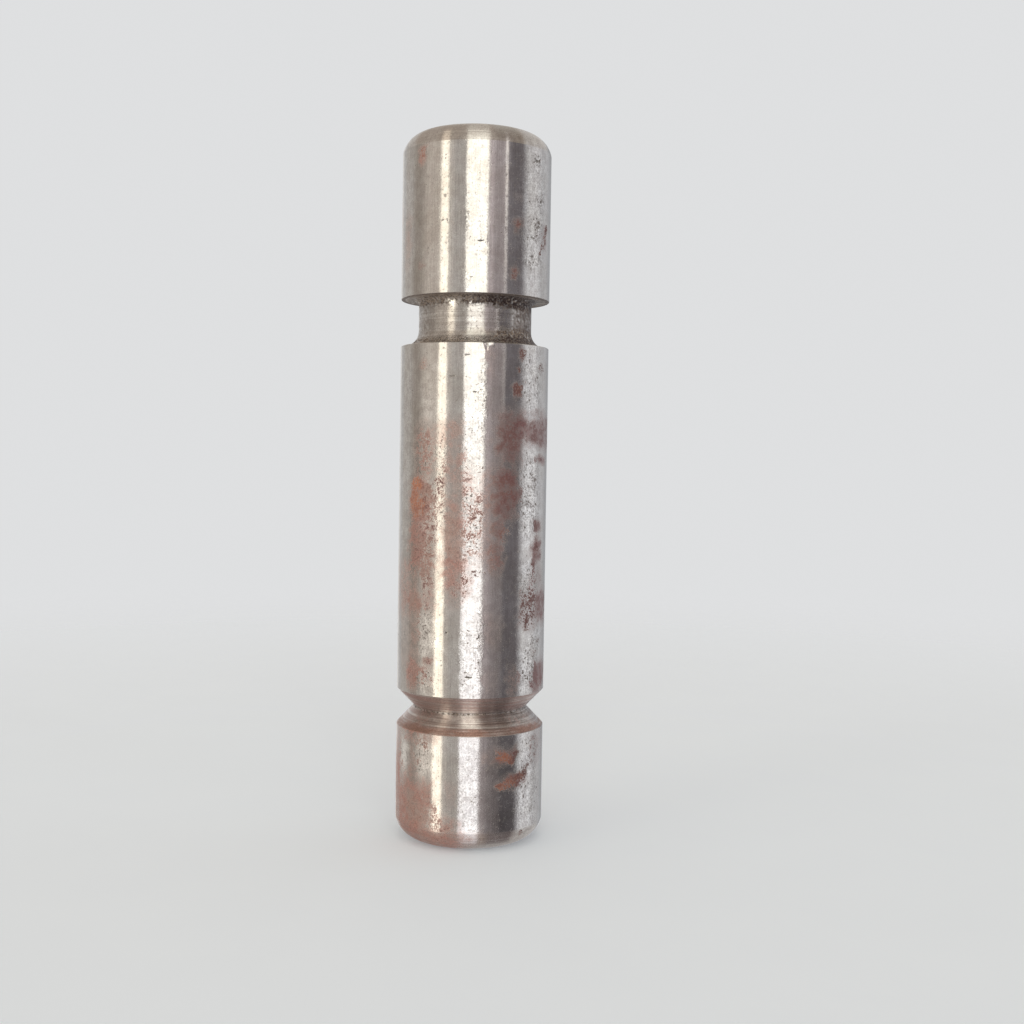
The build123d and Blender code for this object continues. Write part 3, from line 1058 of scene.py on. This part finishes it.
def walls(sky):
    """The ring of panels, with some of them shaded or lit at some heights."""
    ring = panel_ring(sky)
    shade = sky.ease(sky.elevation, -16, -8.5, 0.38, 1.0)
    ring = sky.tint(ring, sky.mean(sky.window(17, 78, 6), 1.0, shade))
    plain = (1.0, 1.0, 1.0)
    for window, shade in (
        (sky.window(36, 47, 4, top=(8, 1)), (0.79, 0.79, 0.79)),
        (sky.window(20, 56, 4, bottom=(10.6, 12.6)), (1.42, 1.42, 1.42)),
        (sky.window(82, 114, 3), sky.climb(plain, (2, 14, (0.87, 0.855, 0.835)))),
        (sky.window(-92, -58, 4), sky.climb(plain, (12, -4, (1.08, 1.12, 1.14)))),
    ):
        ring = sky.blend(window, ring, sky.tint(ring, shade))
    return ring


def ceiling_and_ground(sky, light):
    """What is over and under the walls."""
    dark_side = sky.window(28, 74, 8)
    right_side = sky.window(74, 179, 8)
    left_side = sky.window(-179, -112, 10)
    ceiling = sky.blend(right_side, (0.565, 0.495, 0.43), (0.75, 0.72, 0.69))
    ceiling = sky.blend(left_side, ceiling, (0.71, 0.675, 0.635))
    dark = sky.climb((0.42, 0.365, 0.315), (70, 120, (0.56, 0.52, 0.465)))
    ceiling = sky.blend(dark_side, ceiling, dark)
    ceiling = sky.climb(ceiling, (128, 150, (0.8, 0.77, 0.73)))
    ground = sky.blend(dark_side, (0.42, 0.355, 0.32), (0.24, 0.205, 0.205))
    ground = sky.blend(right_side, ground, (0.66, 0.64, 0.63))
    ground = sky.climb(ground, (-84, -116, (0.55, 0.53, 0.52)))
    return sky.climb(light, (20, 40, ceiling), (-20, -62, ground))


def bright_windows(sky, light):
    """The broad window ahead, the lamp on its left and the slit on its right."""
    main = sky.window(-15.8, 16.3, 1.2, bottom=(-112, -70), lean=(0.0, 0.14))
    bright = sky.climb(
        (1.16, 1.15, 1.2),
        (-26, -9, (2.05, 2.06, 2.14)),
        (-9, 3, (2.3, 2.3, 2.2)),
        (0, 12, (2.3, 2.26, 2.03)),
        (16, 42, (1.42, 1.36, 1.2)),
        (50, 104, (0.74, 0.68, 0.6)),
    )
    light = sky.blend(main, light, bright)
    lamp = sky.window(-57.2, -43.2, 1.4, bottom=(-50, -24), top=(112, 60), lean=(0.12, 0.0))
    bright = sky.climb((2.25, 2.13, 1.84), (14, 40, (1.2, 1.05, 0.87)))
    light = sky.blend(lamp, light, bright)
    slit = sky.window(44.2, 48.4, 0.8, bottom=(1, 13), top=(80, 20))
    bright = sky.climb((1.15, 1.1, 1.08), (10.6, 12.8, (1.7, 1.63, 1.58)))
    return sky.blend(slit, light, bright)


def studio_world():
    """Pale studio whose soft windows and boards show as bands in the steel."""
    world = bpy.data.worlds.new("studio")
    bpy.context.scene.world = world
    sky = Sky(world)
    light = bright_windows(sky, ceiling_and_ground(sky, walls(sky)))
    felt = sky.node("Background", {"Color": light})
    seen = sky.node("Background", {"Color": BACKDROP})
    is_seen = sky.node("LightPath").outputs["Is Camera Ray"]
    pick = sky.node("MixShader", (is_seen, felt.outputs[0], seen.outputs[0]))
    sky.node("OutputWorld", {"Surface": pick.outputs[0]})


def floor_material():
    """Pale board that runs out into the backdrop."""
    material = bpy.data.materials.new("pale_board")
    g = Graph(material)
    metres = g.node("TexCoord").outputs["Object"]
    board = g.node("BsdfPrincipled", {
        "Base Color": g.blend(g.grain(metres, 60.0), (0.71, 0.78, 0.86), (0.73, 0.8, 0.88)),
        "Roughness": 0.8,
        "Emission Color": BACKDROP,
        "Emission Strength": 0.2,
    })
    clear = g.node("BsdfTransparent")
    far = g.ease(g.length(metres), 0.09, 0.42)
    pick = g.node("MixShader", (far, board.outputs[0], clear.outputs[0]))
    g.node("OutputMaterial", {"Surface": pick.outputs[0]})
    return material


def studio_floor():
    """Round board just under the pin."""
    turns = [math.tau * i / FLOOR_SIDES for i in range(FLOOR_SIDES)]
    vertices = [(0, 0, 0)]
    vertices += [(r * math.cos(a), r * math.sin(a), 0) for r in FLOOR_RINGS for a in turns]
    faces = []
    for i in range(FLOOR_SIDES):
        j = (i + 1) % FLOOR_SIDES
        faces.append((0, 1 + i, 1 + j))
        for k in range(len(FLOOR_RINGS) - 1):
            inner = 1 + k * FLOOR_SIDES
            outer = inner + FLOOR_SIDES
            faces.append((inner + i, outer + i, outer + j, inner + j))
    mesh = bpy.data.meshes.new("floor")
    mesh.from_pydata(vertices, [], faces)
    mesh.materials.append(floor_material())
    board = new_object("floor", mesh)
    board.location.z = -FLOOR_GAP
    board.visible_glossy = False


def photo_camera():
    """Camera at the photograph's viewing angle."""
    yaw, pitch, roll = (math.radians(angle) for angle in CAMERA_TURN)
    ahead = Vector((math.sin(yaw) * math.cos(pitch), math.cos(yaw) * math.cos(pitch),
                    math.sin(pitch)))
    side = Vector((math.cos(yaw), -math.sin(yaw), 0))
    upward = side.cross(ahead)
    right = side * math.cos(roll) + upward * math.sin(roll)
    top = upward * math.cos(roll) - side * math.sin(roll)
    data = bpy.data.cameras.new("photo_camera")
    data.sensor_width = 36
    data.lens = FOCAL_PIXELS / PHOTO_PIXELS * data.sensor_width
    data.clip_start = 0.01
    data.clip_end = 20
    camera = new_object("photo_camera", data)
    turn = Matrix((right, top, -ahead)).transposed().to_4x4()
    camera.matrix_world = Matrix.Translation(Vector(CAMERA_PLACE) * MM) @ turn
    bpy.context.scene.camera = camera


photo_camera()
studio_world()
studio_floor()
pin = build_pin()
pin.data.materials.append(steel_material())
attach(pin, "root")
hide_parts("pin")

bpy.context.scene.view_settings.view_transform = "Standard"
bpy.context.scene.view_settings.look = "None"
